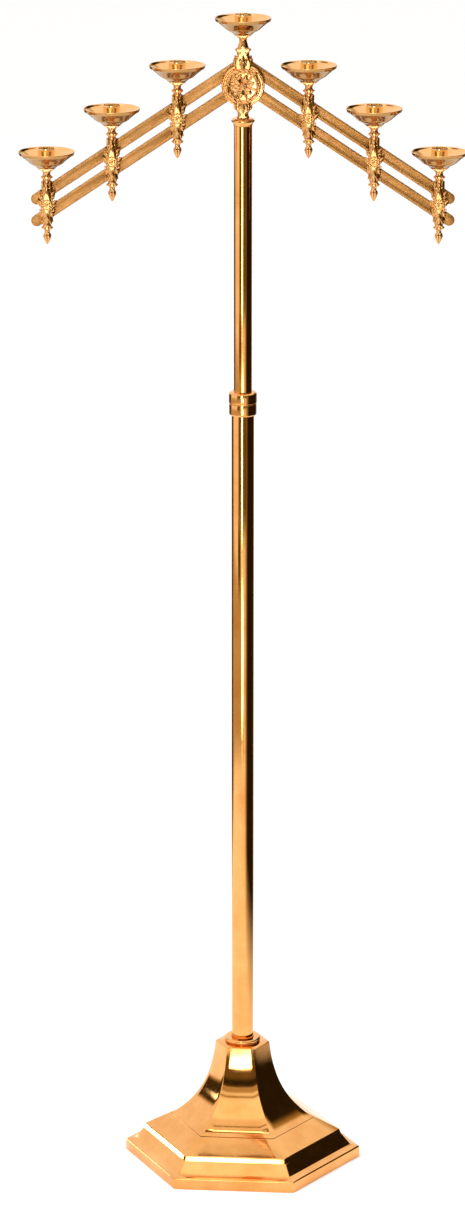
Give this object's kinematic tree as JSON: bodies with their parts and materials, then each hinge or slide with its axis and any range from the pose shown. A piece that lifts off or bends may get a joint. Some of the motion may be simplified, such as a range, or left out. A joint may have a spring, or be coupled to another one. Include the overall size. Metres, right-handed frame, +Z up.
{
  "type": "candelabrum",
  "caption": "Floor candelabrum: stepped hexagonal base, telescoping column and folding parallel-bar arms whose holders keep drip pans and candle sockets level.",
  "frame": {"origin": "centre of the base's underside, on the column's axis", "axes": "+Z up the column; the arms lie in the XZ plane at rest; -Y is the front, where the castings show"},
  "size_m": [0.6288, 0.3142, 1.693],
  "materials": {
    "polished_brass": "mirror polished and lacquered",
    "cast_brass": "cast, burnished and lacquered",
    "bar_brass": "flat bar stock, satin lacquered",
    "steel": "zinc plated",
    "cast_iron": "rough cast",
    "felt": "wool felt"
  },
  "bodies": {
    "stand": {"base_plinth": "polished_brass", "base_spire": "polished_brass", "base_felt": "felt", "ballast_weight": "cast_iron", "tie_washer": "steel", "tie_nut": "steel", "tie_rod": "steel", "base_collar": "polished_brass", "lower_tube": "polished_brass", "tube_plug": "polished_brass", "lock_collar": "polished_brass"},
    "thumbscrew": {"collar_thumbscrew": "polished_brass"},
    "guide": {"guide_bush": "cast_brass"},
    "head": {"upper_tube": "polished_brass", "column_cap": "polished_brass", "hub_casting": "cast_brass", "centre_medallion": "cast_brass", "upper_pivot_washer": "polished_brass", "arm_clamp_washer": "polished_brass", "upper_pivot_nut": "polished_brass", "upper_pivot_bolt": "steel", "arm_clamp_bolt": "steel", "centre_drip_pan": "polished_brass", "centre_candle_socket": "polished_brass"},
    "clamp_nut": {"arm_clamp_nut": "polished_brass"},
    "left_arm": {"left_upper_bar": "bar_brass"},
    "left_stay": {"left_lower_bar": "bar_brass"},
    "left_inner_light": {"left_inner_holder": "cast_brass", "left_inner_upper_pin": "polished_brass", "left_inner_lower_pin": "polished_brass", "left_inner_drip_pan": "polished_brass", "left_inner_candle_socket": "polished_brass"},
    "left_middle_light": {"left_middle_holder": "cast_brass", "left_middle_upper_pin": "polished_brass", "left_middle_lower_pin": "polished_brass", "left_middle_drip_pan": "polished_brass", "left_middle_candle_socket": "polished_brass"},
    "left_outer_light": {"left_outer_holder": "cast_brass", "left_outer_upper_pin": "polished_brass", "left_outer_lower_pin": "polished_brass", "left_outer_drip_pan": "polished_brass", "left_outer_candle_socket": "polished_brass"},
    "right_arm": {"right_upper_bar": "bar_brass"},
    "right_stay": {"right_lower_bar": "bar_brass"},
    "right_inner_light": {"right_inner_holder": "cast_brass", "right_inner_upper_pin": "polished_brass", "right_inner_lower_pin": "polished_brass", "right_inner_drip_pan": "polished_brass", "right_inner_candle_socket": "polished_brass"},
    "right_middle_light": {"right_middle_holder": "cast_brass", "right_middle_upper_pin": "polished_brass", "right_middle_lower_pin": "polished_brass", "right_middle_drip_pan": "polished_brass", "right_middle_candle_socket": "polished_brass"},
    "right_outer_light": {"right_outer_holder": "cast_brass", "right_outer_upper_pin": "polished_brass", "right_outer_lower_pin": "polished_brass", "right_outer_drip_pan": "polished_brass", "right_outer_candle_socket": "polished_brass"}
  },
  "joints": [
    {"name": "height_slide", "type": "slide", "parent": "stand", "child": "guide", "axis": [0, 0, 1], "range_m": [-0.38, 0.36]},
    {"name": "column_swivel", "type": "hinge", "parent": "guide", "child": "head", "pos_m": [0, 0, 1.2], "axis": [0, 0, 1], "continuous": true},
    {"name": "thumbscrew_turn", "type": "hinge", "parent": "stand", "child": "thumbscrew", "pos_m": [0, 0.02, 1.145], "axis": [0, 1, 0], "range_deg": [0, 360]},
    {"name": "clamp_nut_turn", "type": "hinge", "parent": "head", "child": "clamp_nut", "pos_m": [0, 0.018, 1.593], "axis": [0, 1, 0], "range_deg": [0, 360]},
    {"name": "left_arm_swing", "type": "hinge", "parent": "head", "child": "left_arm", "pos_m": [0, 0.0088, 1.624], "axis": [0, 1, 0], "range_deg": [-12.3, 79.7]},
    {"name": "left_stay_swing", "type": "hinge", "parent": "head", "child": "left_stay", "pos_m": [0, 0.0088, 1.593], "axis": [0, 1, 0], "range_deg": [-12.5, 80]},
    {"name": "left_inner_level", "type": "hinge", "parent": "left_arm", "child": "left_inner_light", "pos_m": [-0.0916, 0.0088, 1.56291], "axis": [0, 1, 0], "range_deg": [-80, 12.5]},
    {"name": "left_middle_level", "type": "hinge", "parent": "left_arm", "child": "left_middle_light", "pos_m": [-0.1832, 0.0088, 1.50182], "axis": [0, 1, 0], "range_deg": [-80, 12.5]},
    {"name": "left_outer_level", "type": "hinge", "parent": "left_arm", "child": "left_outer_light", "pos_m": [-0.27479, 0.0088, 1.44074], "axis": [0, 1, 0], "range_deg": [-80, 12.5]},
    {"name": "right_arm_swing", "type": "hinge", "parent": "head", "child": "right_arm", "pos_m": [0, 0.0121, 1.624], "axis": [0, -1, 0], "range_deg": [-12.3, 79.7]},
    {"name": "right_stay_swing", "type": "hinge", "parent": "head", "child": "right_stay", "pos_m": [0, 0.0121, 1.593], "axis": [0, -1, 0], "range_deg": [-12.5, 80]},
    {"name": "right_inner_level", "type": "hinge", "parent": "right_arm", "child": "right_inner_light", "pos_m": [0.0916, 0.0121, 1.56291], "axis": [0, -1, 0], "range_deg": [-80, 12.5]},
    {"name": "right_middle_level", "type": "hinge", "parent": "right_arm", "child": "right_middle_light", "pos_m": [0.1832, 0.0121, 1.50182], "axis": [0, -1, 0], "range_deg": [-80, 12.5]},
    {"name": "right_outer_level", "type": "hinge", "parent": "right_arm", "child": "right_outer_light", "pos_m": [0.27479, 0.0121, 1.44074], "axis": [0, -1, 0], "range_deg": [-80, 12.5]}
  ],
  "couplings": [
    {"joint": "left_stay_swing", "follows": "left_arm_swing", "ratio": 1},
    {"joint": "left_inner_level", "follows": "left_arm_swing", "ratio": -1},
    {"joint": "left_middle_level", "follows": "left_arm_swing", "ratio": -1},
    {"joint": "left_outer_level", "follows": "left_arm_swing", "ratio": -1},
    {"joint": "right_stay_swing", "follows": "right_arm_swing", "ratio": 1},
    {"joint": "right_inner_level", "follows": "right_arm_swing", "ratio": -1},
    {"joint": "right_middle_level", "follows": "right_arm_swing", "ratio": -1},
    {"joint": "right_outer_level", "follows": "right_arm_swing", "ratio": -1}
  ]
}
